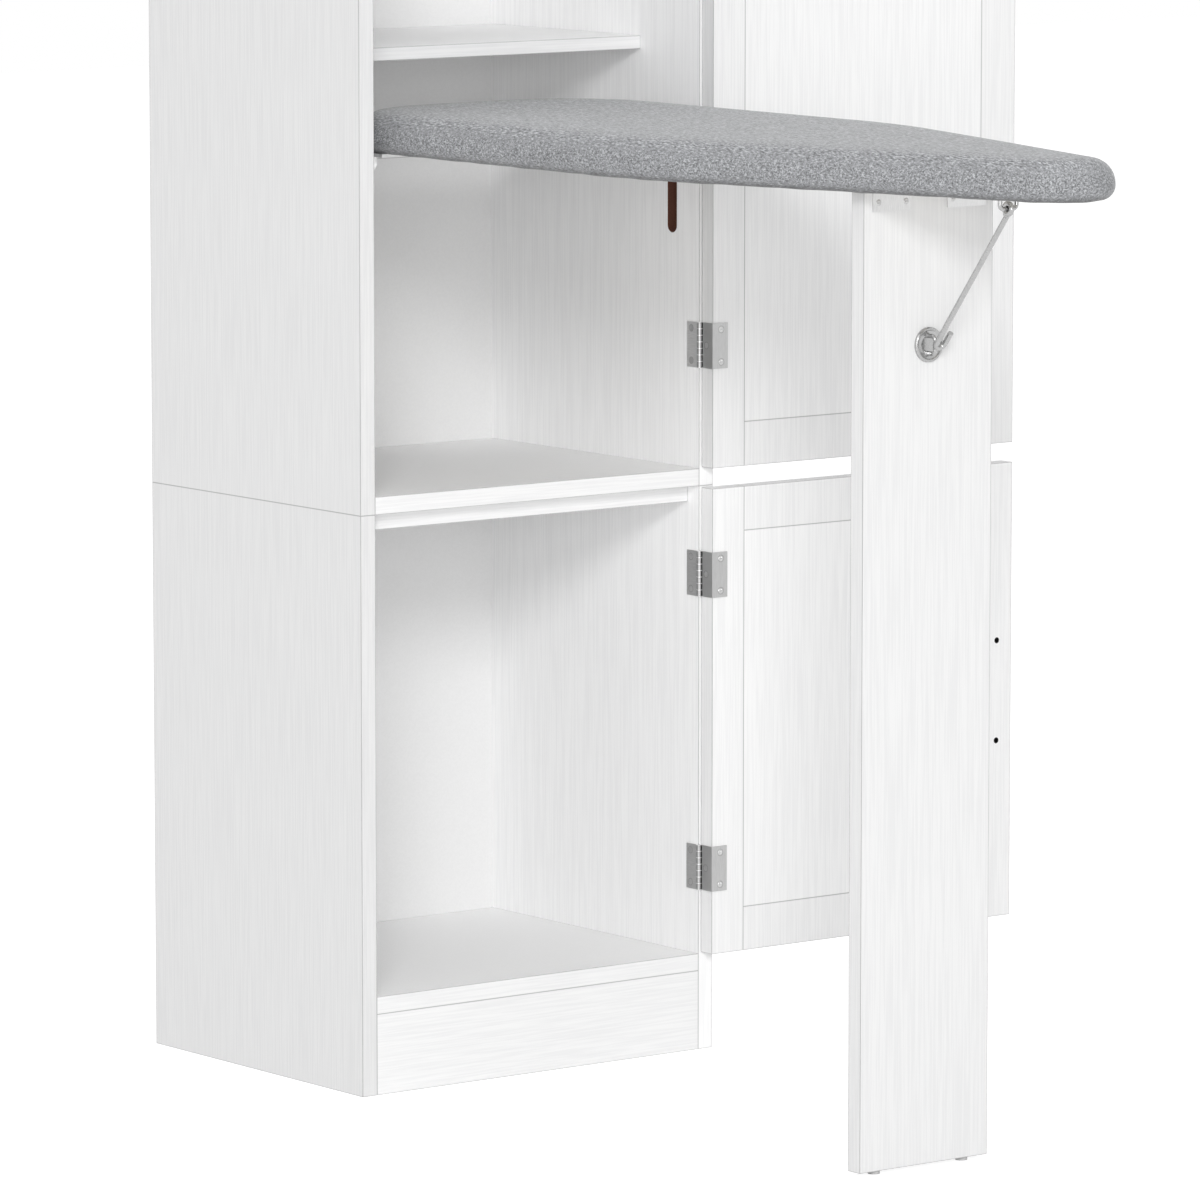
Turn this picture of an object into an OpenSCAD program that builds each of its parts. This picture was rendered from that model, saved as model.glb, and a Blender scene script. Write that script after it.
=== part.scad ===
// Tall ironing board cabinet: two stacked white units, two framed doors that
// open right round to the side, and a padded board on a swing-up pivot with a
// folding support leg and a wire stay.
// Frame: x = 0 on the middle of the cabinet, y = 0 on the front edges of the
// side panels with the room at -y, z = 0 on the floor. Drawn in use: doors
// open 180 degrees, board level, leg standing on the floor.

/* [Cabinet] */
// Outer width of the cabinet
cab_w = 400; // [390:1:440]
// Depth of the side panels
cab_d = 330; // [310:1:380]
// Total height
cab_h = 1780; // [1760:1:1850]
// Height of the joint between the two stacked units
seam_z = 527.5; // [510:0.5:528]
// Thickness of the white panels
panel_t = 16; // [15:0.5:18]
// Height of the plinth under the lower unit
plinth_h = 74; // [50:1:100]
// Thickness of the back panels
back_t = 3.4; // [3:0.1:6]
// Depth of the grooves that hold the back panels
back_groove = 5; // [3:0.5:8]
// Distance from the rear edges to the back panels
back_inset = 6.6; // [4:0.1:12]
// Setback of the top panels, which the inset doors cover
top_setback = 17; // [17:0.5:24]
// Height of the top face of the lowest shelf
shelf_z = 938; // [934:1:990]
// Height between one shelf and the next
shelf_pitch = 280; // [220:5:300]
// Thickness of a shelf
shelf_t = 12; // [10:1:16]
// Setback of the shelves, which leaves room for the stowed board
shelf_setback = 89; // [88:1:120]
// Radius of a shelf pin
shelf_pin_r = 2.5; // [2:0.1:3]
// Setback of the rail behind the tail of the board
tail_rail_y = 139; // [138:1:160]
// Height of the underside of the tail rail
tail_rail_z = 833; // [800:1:880]
// Front to back depth of the tail rail
tail_rail_d = 60; // [40:1:80]
// Height of the anti-tip rail under the top panel
wall_rail_h = 80; // [60:1:120]
// Distance between the two anti-tip screw holes
wall_hole_gap = 304; // [200:1:320]
// Radius of an anti-tip screw hole
wall_hole_r = 2.75; // [2:0.05:4]

/* [Doors] */
// Thickness of the doors
door_t = 16; // [14:0.5:16]
// Gap between a closed door and the left side panel
door_free_gap = 4.5; // [2:0.5:6]
// Gap above and below a closed door
door_z_gap = 1.5; // [1:0.1:3]
// Width of the hinge-side stile
hinge_stile_w = 37; // [34:1:50]
// Width of the handle-side stile
lock_stile_w = 41; // [36:1:50]
// Height of a door rail
rail_h = 41; // [36:1:60]
// Depth of the field panel below the outer face
panel_recess = 6; // [2:0.5:8]
// Distance between the two screws of a handle
handle_pitch = 96; // [64:1:160]
// Distance from the free edge of a door to its handle screws
handle_inset = 17.5; // [15:0.5:22]
// Radius of a handle bar
handle_r = 5; // [4:0.5:7]
// Distance from the door to the middle of the handle bar
handle_reach = 30; // [26:1:36]
// Length of a handle bar past each screw
handle_over = 20; // [10:1:40]
// Radius of the handle screw holes
handle_hole_r = 2.5; // [2.2:0.1:3]

/* [Hinges] */
// Length of a hinge along its pin
hinge_len = 42; // [36:1:60]
// Thickness of a hinge leaf
leaf_t = 1.2; // [0.8:0.1:1.2]
// Outer radius of the hinge knuckles
knuckle_r = 2.4; // [2.2:0.05:2.4]
// Radius of a hinge pin
hinge_pin_r = 1.2; // [1:0.05:1.5]
// Running clearance between a hinge pin and its bore
hinge_fit = 0.05; // [0.03:0.01:0.1]
// Width of a leaf on a flat face
leaf_w = 16.6; // [14:0.1:16.6]
// Number of knuckles of a hinge
knuckles = 7; // [5:2:9]
// Distance of the hinge axis in front of the cabinet face
pin_out = 0.5; // [0.4:0.1:0.6]
// Height from the ends of the upper door to its outer hinges
upper_hinge_inset = 113; // [90:1:140]
// Height from the ends of the lower door to its hinges
lower_hinge_inset = 80; // [70:1:110]

/* [Board] */
// Height of the board's underside
board_z = 848; // [847:0.5:849]
// Thickness of the board with its pad
board_t = 36; // [35.5:0.1:36.5]
// Half of the board's width
board_half_w = 162; // [155:1:164]
// Distance of the nose tip in front of the cabinet
nose_y = -764; // [-770:1:-745]
// Radius of the nose
nose_r = 50; // [46:1:60]
// Where the straight sides end and the taper begins
taper_y = -279; // [-300:1:-250]
// Radius of the bend from the straight side into the taper
taper_r = 430; // [300:5:500]
// Depth of the tail's end behind the cabinet's front
tail_y = 131; // [115:1:132]
// Radius of the tail's corners
tail_r = 112; // [90:1:120]
// Thickness of the board's deck
deck_t = 16; // [12:1:18]
// Width of the padded rim around the deck
deck_inset = 14; // [14:1:18]
// Gap between the deck's edge and the pad around it
deck_fit = 0.2; // [0.1:0.05:0.4]
// Radius of the pad's upper rim
rim_top_r = 22; // [16:1:22]
// Radius of the pad's lower rim
rim_low_r = 12; // [6:1:12]

/* [Pivot] */
// Distance of the pivot behind the cabinet's front
pivot_y = 40.7; // [40:0.1:42]
// Distance of the pivot below the board's underside
pivot_drop = 8; // [8:0.1:8.5]
// Radius of the pivot pins
pivot_r = 5; // [4:0.5:5.5]
// Running clearance between a pivot pin and its slider
pivot_fit = 0.05; // [0.03:0.01:0.1]
// Width of the blind grooves in the side panels
groove_w = 14; // [13:0.5:16]
// Depth of the grooves
groove_d = 10; // [8:0.5:11]
// Height of the groove's lower end
groove_z = 759; // [740:1:790]
// Clearance between a slider and its groove
slide_fit = 0.1; // [0.05:0.05:0.2]
// Length of a slider
slider_len = 24; // [20:1:26]
// Distance of the bracket cheeks from the middle of the board
cheek_x = 160; // [156:1:164]
// Thickness of the bracket steel
bracket_t = 3; // [2:0.5:3]
// Width of a bracket's base plate
bracket_w = 50; // [30:1:60]
// Length of a bracket's base plate
bracket_len = 40; // [30:1:60]

/* [Leg] */
// Width of the leg panel
leg_w = 142; // [130:1:160]
// Distance of the leg's front face behind the tip of the nose
leg_in = 214.5; // [208:0.5:220]
// Height of the glides under the leg
glide_h = 3.5; // [2:0.5:6]
// Radius of a glide
glide_r = 5.3; // [4:0.1:7]
// Distance of a glide from the middle of the leg
glide_x = 49; // [30:1:60]
// Distance of a leg hinge from the middle of the leg
leg_hinge_x = 41; // [30:0.5:44]

/* [Stay] */
// Radius of the stay's wire
stay_r = 2.4; // [2.1:0.1:2.4]
// Distance of the stay's eye in front of the leg's face
eye_out = 113.5; // [112.5:0.1:114.5]
// Depth of the eye's middle below the board
eye_drop = 11.5; // [11:0.5:13]
// Length of the stay from eye to hook
stay_len = 160; // [159:0.5:160]
// Angle of the stay below the level, towards the leg
stay_angle = 51.5; // [51.5:0.1:53]
// Radius of the hook's bend
hook_r = 4.8; // [4.6:0.1:6]
// Radius of the two bends of the kink under the eye
kink_r = 3.2; // [2.8:0.1:4]
// Length of the hook's tip
hook_tip = 12; // [6:1:20]
// Radius of the staple wire
staple_r = 1.9; // [1.5:0.1:2]
// Running clearance between the stay's eye and its staple
eye_fit = 0.05; // [0.03:0.01:0.1]
// Distance of the hook plate's middle below the board's underside
cup_drop = 135; // [132:1:138]
// Radius of the hook plate
cup_r = 15; // [13:1:20]
// Height of the hook plate's raised rim
cup_t = 3; // [2.5:0.1:3.5]
// Distance from the leg's face to the middle of the staple's bar
staple_reach = 9.5; // [8:0.5:9.5]

/* [Hidden] */
$fn = 32;

// Small overlap that lets a cutting shape pass right through a face
cut = 1;
// Facets of thin wires and hinge barrels
wire_fn = 16;
// Facets around a wire's bend
bend_fn = 32;

// Cabinet
in_x = cab_w / 2 - panel_t;
back_y = cab_d - back_inset - back_t;
low_floor_z = plinth_h + panel_t;
up_floor_z = seam_z + panel_t;
shelf_tops = [for (i = [0 : 2]) shelf_z + i * shelf_pitch];
pin_depth = 8;
pin_reach = 7;
pin_row_in = 37;
pin_rows = [shelf_setback + pin_row_in, back_y - pin_row_in];
pin_slot_room = 0.3;
wall_hole_z = cab_h - panel_t - wall_rail_h / 2;

// Doors, laid out closed
leaf_gap = 0.1;
hinge_gap = 2 * leaf_t + leaf_gap;
door_x0 = -in_x + door_free_gap;
door_x1 = in_x - hinge_gap;
upper_z0 = up_floor_z + door_z_gap;
upper_z1 = cab_h - door_z_gap;
lower_z0 = low_floor_z + door_z_gap;
lower_z1 = seam_z - door_z_gap;
upper_hinges = [upper_z0 + upper_hinge_inset, (upper_z0 + upper_z1) / 2, upper_z1 - upper_hinge_inset];
lower_hinges = [lower_z0 + lower_hinge_inset, lower_z1 - lower_hinge_inset];
handle_x = door_x0 + handle_inset;
handle_screw_depth = 4;
handle_post_r = 4;

// Hinges
knuckle_gap = 0.2;
knuckle_len = (hinge_len - (knuckles - 1) * knuckle_gap) / knuckles;
knuckle_room = 0.1;
notch_r = knuckle_r + knuckle_room;
notch_room = 0.4;
notch_len = hinge_len + notch_room;
screw_hole_r = 1.6;
screw_rise = 15;
screw_out = 10.5;
leaf_hole_len = 6;
wrap_screw_in = 8.9;

// Board
top_z = board_z + board_t;
deck_top_z = board_z + deck_t;
crown_step = 1.2;
crown_rise = 0.4;
crown_in = 8;
crown_flat_in = 20;
bracket_r = 8;
collar_r = 6.5;
collar_t = 2;
pin_end_gap = 1;
pin_end_x = in_x + groove_d - pin_end_gap;
slider_gap = 0.2;
pivot_z = board_z - pivot_drop;

// Leg
leg_y = nose_y + leg_in;
leg_back_y = leg_y + panel_t;
leg_axis_y = leg_back_y + pin_out;
leg_top_z = board_z - hinge_gap;
glide_pin_r = 1.5;
glide_pin_h = 12;

// Stay
eye_z = board_z - eye_drop;
cup_z = board_z - cup_drop;
eye_y = leg_y - eye_out;
eye_r = staple_r + eye_fit + stay_r;
kink_a = 60;
kink_w = 2 * kink_r * (1 - cos(kink_a));
kink_h = 2 * kink_r * sin(kink_a);
bead_r = stay_r + 0.05;
bead_a = 2;
bead_gap = 0.1;
eye_x = -hook_r - kink_w;
staple_bend = 3.5;
eye_staple_w = 18;
cup_staple_w = 15;
cup_floor_t = 0.8;
cup_rim_w = 3;
cup_lip_t = 1;
cup_lip_w = 0.6;
cup_slope_w = 4;
cup_fn = 48;

// Plan outline of the board as a list of [point, outward normal] pairs, for
// the half with x >= 0, from the tail round to the nose tip. The sides are
// straight, an arc of radius taper_r turns them into the taper, and the nose
// is an arc. The taper's angle is that of the line touching both arcs.
nose_c = [0, nose_y + nose_r];
bend_c = [board_half_w - taper_r, taper_y];
arc_gap = bend_c - nose_c;
taper_a = acos((nose_r - taper_r) / norm(arc_gap)) - atan2(arc_gap.y, arc_gap.x);
function arc_points(centre, radius, from, to, steps) =
    [for (i = [0 : steps]) let (a = from + (to - from) * i / steps)
        [centre + radius * [cos(a), sin(a)], [cos(a), sin(a)]]];
half_outline = concat(
    arc_points([board_half_w - tail_r, tail_y - tail_r], tail_r, 90, 0, 8),
    arc_points(bend_c, taper_r, 0, -taper_a, 5),
    arc_points(nose_c, nose_r, -taper_a, -90, 8));
half_count = len(half_outline);

// The whole outline moved inwards by a distance, as a closed loop of points
function inset_point(pair, inset) = pair[0] - inset * pair[1];
function board_loop(inset) = concat(
    [for (i = [0 : half_count - 1]) inset_point(half_outline[i], inset)],
    [for (i = [half_count - 2 : -1 : 0]) let (p = inset_point(half_outline[i], inset)) [-p.x, p.y]]);
loop_count = 2 * half_count - 1;

// Steel and finish colours
panel_white = [0.95, 0.95, 0.94];
steel = [0.72, 0.72, 0.72];
dark_steel = [0.5, 0.5, 0.51];
cover_grey = [0.66, 0.67, 0.68];
ply_brown = [0.78, 0.68, 0.55];
glide_grey = [0.45, 0.46, 0.47];

// A box given by its two opposite corners
module box(low, high) {
    translate(low) cube(high - low);
}

// Side panel of one unit, its inner face towards the middle of the cabinet
module side_panel(z0, z1) {
    difference() {
        box([in_x, 0, z0], [in_x + panel_t, cab_d, z1]);
        box([in_x - cut, back_y, z0 - cut], [in_x + back_groove, back_y + back_t, z1 + cut]);
    }
}

// Cylinder along X that starts at the given x
module x_rod(x, y, z, r, len) {
    translate([x, y, z]) rotate([0, 90, 0]) cylinder(r = r, h = len);
}

// Side panel of the upper unit, with the pivot groove and the shelf pin holes
module upper_side() {
    slot_y = [pivot_y - groove_w / 2, pivot_y + groove_w / 2];
    slot_z = [groove_z + groove_w / 2, pivot_z + slider_len / 2 - groove_w / 2 + cut];
    difference() {
        side_panel(seam_z, cab_h);
        box([in_x - cut, slot_y[0], slot_z[0]], [in_x + groove_d, slot_y[1], slot_z[1]]);
        for (z = slot_z) x_rod(in_x - cut, pivot_y, z, groove_w / 2, groove_d + cut);
        for (top = shelf_tops, y = pin_rows)
            x_rod(in_x - cut, y, top - shelf_t + shelf_pin_r, shelf_pin_r, pin_depth + cut);
    }
}

// Room for the hinge barrels at the front inner corner of a side panel
module hinge_notches(heights) {
    for (z = heights)
        translate([in_x, -pin_out, z - notch_len / 2]) cylinder(r = notch_r, h = notch_len);
}

// Panel between the sides of a unit
module cross_panel(z0, front) {
    box([-in_x, front, z0], [in_x, back_y, z0 + panel_t]);
}

// Back panel that sits in the grooves of the sides
module back_panel(z0, z1) {
    box([-in_x - back_groove, back_y, z0], [in_x + back_groove, back_y + back_t, z1]);
}

// Two anti-tip screw holes through the wall rail and the back panel
module wall_holes() {
    for (side = [-1, 1])
        translate([side * wall_hole_gap / 2, back_y - panel_t - cut, wall_hole_z])
            rotate([-90, 0, 0]) cylinder(r = wall_hole_r, h = panel_t + back_t + 2 * cut);
}

module lower_left_side() {
    color(panel_white) mirror([1, 0, 0]) side_panel(0, seam_z);
}

module lower_right_side() {
    color(panel_white) difference() {
        side_panel(0, seam_z);
        hinge_notches(lower_hinges);
    }
}

module plinth_board() {
    color(panel_white) box([-in_x, 0, 0], [in_x, panel_t, plinth_h]);
}

module lower_bottom_panel() {
    color(panel_white) cross_panel(plinth_h, 0);
}

module lower_top_panel() {
    color(panel_white) cross_panel(seam_z - panel_t, top_setback);
}

module lower_back_panel() {
    color(panel_white) back_panel(plinth_h, seam_z);
}

module upper_left_side() {
    color(panel_white) mirror([1, 0, 0]) upper_side();
}

module upper_right_side() {
    color(panel_white) difference() {
        upper_side();
        hinge_notches(upper_hinges);
    }
}

module upper_bottom_panel() {
    color(panel_white) cross_panel(seam_z, 0);
}

module upper_top_panel() {
    color(panel_white) cross_panel(cab_h - panel_t, top_setback);
}

module upper_back_panel() {
    color(panel_white) difference() {
        back_panel(seam_z, cab_h);
        wall_holes();
    }
}

module tail_rail() {
    color(panel_white) box([-in_x, tail_rail_y, tail_rail_z],
        [in_x, tail_rail_y + tail_rail_d, tail_rail_z + panel_t]);
}

module wall_rail() {
    color(panel_white) difference() {
        box([-in_x, back_y - panel_t, cab_h - panel_t - wall_rail_h], [in_x, back_y, cab_h - panel_t]);
        wall_holes();
    }
}

// Shelf with slots in its underside that sit over the four pins
module shelf(index) {
    top = shelf_tops[index];
    low = top - shelf_t;
    slot_r = shelf_pin_r + pin_slot_room;
    color(panel_white) difference() {
        box([-in_x, shelf_setback, low], [in_x, back_y, top]);
        for (side = [0, 1], y = pin_rows) mirror([side, 0, 0])
            box([in_x - pin_reach - pin_slot_room, y - slot_r, low - cut],
                [in_x + cut, y + slot_r, low + 2 * shelf_pin_r]);
    }
}

module shelf_1() {
    shelf(0);
}

module shelf_2() {
    shelf(1);
}

module shelf_3() {
    shelf(2);
}

module shelf_pins() {
    color(steel) for (top = shelf_tops, y = pin_rows, side = [-1, 1])
        x_rod(side > 0 ? in_x - pin_reach : -in_x - pin_depth, y, top - shelf_t + shelf_pin_r,
            shelf_pin_r, pin_reach + pin_depth, $fn = wire_fn);
}

// Hinge, in its own frame: the pin runs along z through the origin, the fixed
// face is the plane x = 0 and its edge is at y = pin_out. The moving panel is
// at x < -hinge_gap, and its edge and inner face carry the wrap-round leaf.
module knuckle(index, radius, extra) {
    z0 = -hinge_len / 2 + index * (knuckle_len + knuckle_gap);
    translate([0, 0, z0 - extra]) cylinder(r = radius, h = knuckle_len + 2 * extra, $fn = wire_fn);
}

// Knuckles of one leaf: the even ones for the fixed leaf, the odd ones for
// the moving leaf
module leaf_knuckles(first, radius, extra) {
    for (i = [first : 2 : knuckles - 1]) knuckle(i, radius, extra);
}

// Screw hole through a leaf, drilled along x or along y
module leaf_hole(place, turn) {
    translate(place) rotate(turn) cylinder(r = screw_hole_r, h = leaf_hole_len, center = true, $fn = wire_fn);
}

module fixed_leaf() {
    half = hinge_len / 2;
    difference() {
        union() {
            box([-leaf_t, pin_out, -half], [0, pin_out + leaf_w, half]);
            leaf_knuckles(0, knuckle_r, 0);
        }
        leaf_knuckles(1, notch_r, knuckle_gap);
        translate([0, 0, -half - cut]) cylinder(r = hinge_pin_r, h = hinge_len + 2 * cut);
        for (rise = [-screw_rise, screw_rise])
            leaf_hole([0, pin_out + screw_out, rise], [0, 90, 0]);
    }
}

module wrap_leaf() {
    half = hinge_len / 2;
    edge = -hinge_gap;
    face = pin_out + door_t;
    difference() {
        union() {
            box([edge, pin_out, -half], [edge + leaf_t, face + leaf_t, half]);
            box([edge - leaf_w, face, -half], [edge + leaf_t, face + leaf_t, half]);
            intersection() {
                leaf_knuckles(1, knuckle_r, 0);
                box([-knuckle_r, -knuckle_r, -half], [knuckle_r, knuckle_r, half]);
            }
        }
        leaf_knuckles(0, notch_r, knuckle_gap);
        translate([0, 0, -half - cut]) cylinder(r = hinge_pin_r + hinge_fit, h = hinge_len + 2 * cut);
        for (rise = [-screw_rise, screw_rise])
            leaf_hole([edge - wrap_screw_in, face, rise], [90, 0, 0]);
        leaf_hole([edge, pin_out + door_t / 2, 0], [0, 90, 0]);
    }
}

module hinge_pin() {
    translate([0, 0, -hinge_len / 2]) cylinder(r = hinge_pin_r, h = hinge_len);
}

// Puts a hinge part on the cabinet at each height of a list
module at_hinges(heights) {
    for (z = heights) translate([in_x, -pin_out, z]) children();
}

// Turns a door part from its closed place to its drawn place, right open
module opened() {
    translate([in_x, -pin_out, 0]) rotate([0, 0, 180]) translate([-in_x, pin_out, 0]) children();
}

module upper_fixed_leaves() {
    color(steel) at_hinges(upper_hinges) fixed_leaf();
}

module upper_hinge_pins() {
    color(steel) at_hinges(upper_hinges) hinge_pin();
}

module lower_fixed_leaves() {
    color(steel) at_hinges(lower_hinges) fixed_leaf();
}

module lower_hinge_pins() {
    color(steel) at_hinges(lower_hinges) hinge_pin();
}

// Frame pieces of a door, laid out closed between the heights z0 and z1
module hinge_stile(z0, z1) {
    color(panel_white) opened() box([door_x1 - hinge_stile_w, 0, z0], [door_x1, door_t, z1]);
}

module lock_stile(z0, z1) {
    mid = (z0 + z1) / 2;
    color(panel_white) opened() difference() {
        box([door_x0, 0, z0], [door_x0 + lock_stile_w, door_t, z1]);
        for (side = [-1, 1])
            translate([handle_x, -cut, mid + side * handle_pitch / 2])
                rotate([-90, 0, 0]) cylinder(r = handle_hole_r, h = door_t + 2 * cut);
    }
}

module door_rail(z0) {
    color(panel_white) opened() box([door_x0 + lock_stile_w, 0, z0],
        [door_x1 - hinge_stile_w, door_t, z0 + rail_h]);
}

module field_panel(z0, z1) {
    color(panel_white) opened() box([door_x0 + lock_stile_w, panel_recess, z0 + rail_h],
        [door_x1 - hinge_stile_w, door_t, z1 - rail_h]);
}

// Bar handle on the outer face of a door, with two posts and their screws
module bar_handle(z0, z1) {
    mid = (z0 + z1) / 2;
    length = handle_pitch + 2 * handle_over;
    color(steel) opened() {
        translate([handle_x, -handle_reach, mid - length / 2]) cylinder(r = handle_r, h = length);
        for (side = [-1, 1]) translate([handle_x, -handle_reach, mid + side * handle_pitch / 2])
            rotate([-90, 0, 0]) {
                cylinder(r = handle_post_r, h = handle_reach);
                cylinder(r = handle_hole_r, h = handle_reach + handle_screw_depth);
            }
    }
}

module upper_hinge_stile() {
    hinge_stile(upper_z0, upper_z1);
}

module upper_lock_stile() {
    lock_stile(upper_z0, upper_z1);
}

module upper_top_rail() {
    door_rail(upper_z1 - rail_h);
}

module upper_bottom_rail() {
    door_rail(upper_z0);
}

module upper_field_panel() {
    field_panel(upper_z0, upper_z1);
}

module upper_wrap_leaves() {
    color(dark_steel) at_hinges(upper_hinges) rotate([0, 0, 180]) wrap_leaf();
}

module upper_handle() {
    bar_handle(upper_z0, upper_z1);
}

module lower_hinge_stile() {
    hinge_stile(lower_z0, lower_z1);
}

module lower_lock_stile() {
    lock_stile(lower_z0, lower_z1);
}

module lower_top_rail() {
    door_rail(lower_z1 - rail_h);
}

module lower_bottom_rail() {
    door_rail(lower_z0);
}

module lower_field_panel() {
    field_panel(lower_z0, lower_z1);
}

module lower_wrap_leaves() {
    color(dark_steel) at_hinges(lower_hinges) rotate([0, 0, 180]) wrap_leaf();
}

module lower_handle() {
    bar_handle(lower_z0, lower_z1);
}

// Nylon slider in the right-hand groove, with the bore for the pivot pin
module slider() {
    wide = groove_w - 2 * slide_fit;
    deep = groove_d - 2 * slider_gap;
    end = slider_len / 2 - wide / 2;
    x0 = in_x + slider_gap;
    difference() {
        union() {
            box([x0, pivot_y - wide / 2, pivot_z - end], [x0 + deep, pivot_y + wide / 2, pivot_z + end]);
            for (side = [-1, 1]) x_rod(x0, pivot_y, pivot_z + side * end, wide / 2, deep);
        }
        x_rod(x0 - cut, pivot_y, pivot_z, pivot_r + pivot_fit, deep + 2 * cut);
    }
}

module left_slider() {
    color(glide_grey) mirror([1, 0, 0]) slider();
}

module right_slider() {
    color(glide_grey) slider();
}

// Deck of the board, notched for the barrels of the leg hinges
module board_deck() {
    color(ply_brown) difference() {
        translate([0, 0, board_z]) linear_extrude(deck_t) polygon(board_loop(deck_inset + deck_fit));
        for (side = [-1, 1])
            x_rod(side * leg_hinge_x - notch_len / 2, leg_axis_y, board_z, notch_r, notch_len);
    }
}

// Padded cover as one closed skin: loops of the outline from the pocket over
// the deck, down round its edge, out round both rims and in over the top
module board_pad() {
    low = [for (a = [90 : -22.5 : 0]) [rim_low_r * (1 - cos(a)), board_z + rim_low_r * (1 - sin(a))]];
    high = [for (a = [0 : 15 : 90])
        [rim_top_r * (1 - cos(a)), top_z - crown_step - rim_top_r * (1 - sin(a))]];
    loops = concat(
        [[deck_inset, deck_top_z], [deck_inset, board_z]],
        low,
        high,
        [[rim_top_r + crown_in, top_z - crown_rise], [rim_top_r + crown_flat_in, top_z]]);
    points = [for (step = loops, p = board_loop(step[0])) [p.x, p.y, step[1]]];
    bands = [for (j = [0 : len(loops) - 2], i = [0 : loop_count - 1])
        let (a = j * loop_count + i, b = j * loop_count + (i + 1) % loop_count)
        [a, b, b + loop_count, a + loop_count]];
    first_cap = [[for (i = [loop_count - 1 : -1 : 0]) i]];
    last_cap = [[for (i = [0 : loop_count - 1]) (len(loops) - 1) * loop_count + i]];
    color(cover_grey) polyhedron(points, concat(first_cap, bands, last_cap), 4);
}

// Steel bracket under the right-hand side of the deck
module bracket() {
    difference() {
        union() {
            box([cheek_x - bracket_w, pivot_y - bracket_len / 2, board_z - bracket_t],
                [cheek_x, pivot_y + bracket_len / 2, board_z]);
            box([cheek_x - bracket_t, pivot_y - bracket_r, pivot_z], [cheek_x, pivot_y + bracket_r, board_z]);
            x_rod(cheek_x - bracket_t, pivot_y, pivot_z, bracket_r, bracket_t);
        }
        x_rod(cheek_x - bracket_t - cut, pivot_y, pivot_z, pivot_r, bracket_t + 2 * cut);
    }
}

module left_bracket() {
    color(steel) mirror([1, 0, 0]) bracket();
}

module right_bracket() {
    color(steel) bracket();
}

// Collared pins from the brackets into the sliders
module pivot_pins() {
    color(steel) for (side = [0, 1]) mirror([side, 0, 0]) {
        x_rod(cheek_x - bracket_t, pivot_y, pivot_z, pivot_r, pin_end_x - cheek_x + bracket_t);
        x_rod(cheek_x, pivot_y, pivot_z, collar_r, collar_t);
    }
}

// Puts a hinge part under the board at each leg hinge, its pin along x
module at_leg_hinges() {
    for (side = [-1, 1]) translate([side * leg_hinge_x, leg_axis_y, board_z])
        multmatrix([[0, 0, 1, 0], [0, -1, 0, 0], [1, 0, 0, 0]]) children();
}

module leg_fixed_leaves() {
    color(steel) at_leg_hinges() fixed_leaf();
}

module leg_hinge_pins() {
    color(steel) at_leg_hinges() hinge_pin();
}

module leg_wrap_leaves() {
    color(dark_steel) at_leg_hinges() wrap_leaf();
}

module leg_panel() {
    color(panel_white) difference() {
        box([-leg_w / 2, leg_y, glide_h], [leg_w / 2, leg_back_y, leg_top_z]);
        for (side = [-1, 1])
            translate([side * glide_x, leg_y + panel_t / 2, glide_h - cut])
                cylinder(r = glide_pin_r, h = glide_pin_h + cut);
    }
}

module leg_glides() {
    color(glide_grey) for (side = [-1, 1]) translate([side * glide_x, leg_y + panel_t / 2, 0]) {
        cylinder(r = glide_r, h = glide_h);
        cylinder(r = glide_pin_r, h = glide_h + glide_pin_h);
    }
}

// Bend of a round wire in the plane y = 0, from the +x side up through an angle
module wire_bend(radius, wire, angle) {
    rotate([90, 0, 0]) rotate_extrude(angle = angle, $fn = bend_fn)
        translate([radius, 0]) circle(r = wire, $fn = wire_fn);
}

// U-shaped staple standing on the plane z = 0, its bar along x
module staple(width, reach, wire) {
    leg = reach - staple_bend;
    bar = width / 2 - staple_bend;
    for (side = [0, 1]) mirror([side, 0, 0]) {
        translate([width / 2, 0, 0]) cylinder(r = wire, h = leg, $fn = wire_fn);
        translate([bar, 0, leg]) wire_bend(staple_bend, wire, 90);
    }
    translate([-bar, 0, reach]) rotate([0, 90, 0]) cylinder(r = wire, h = 2 * bar, $fn = wire_fn);
}

module stay_staple() {
    color(steel) translate([eye_x, eye_y, board_z]) rotate([180, 0, 0])
        staple(eye_staple_w, eye_drop, staple_r);
}

// Round dish with a raised rim, and the staple that stands in its hollow
module hook_plate() {
    hollow_r = cup_r - cup_rim_w;
    rim_mid = cup_r - cup_rim_w / 2;
    color(steel) translate([0, leg_y, cup_z]) {
        rotate([90, 0, 0]) rotate_extrude($fn = cup_fn) polygon([[0, 0], [cup_r, 0],
            [cup_r, cup_t - cup_lip_t], [rim_mid + cup_lip_w, cup_t], [rim_mid - cup_lip_w, cup_t],
            [hollow_r, cup_t - cup_lip_t], [hollow_r - cup_slope_w, cup_floor_t], [0, cup_floor_t]]);
        multmatrix([[0, -1, 0, 0], [0, 0, -1, 0], [1, 0, 0, 0]])
            staple(cup_staple_w, staple_reach, staple_r);
    }
}

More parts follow.
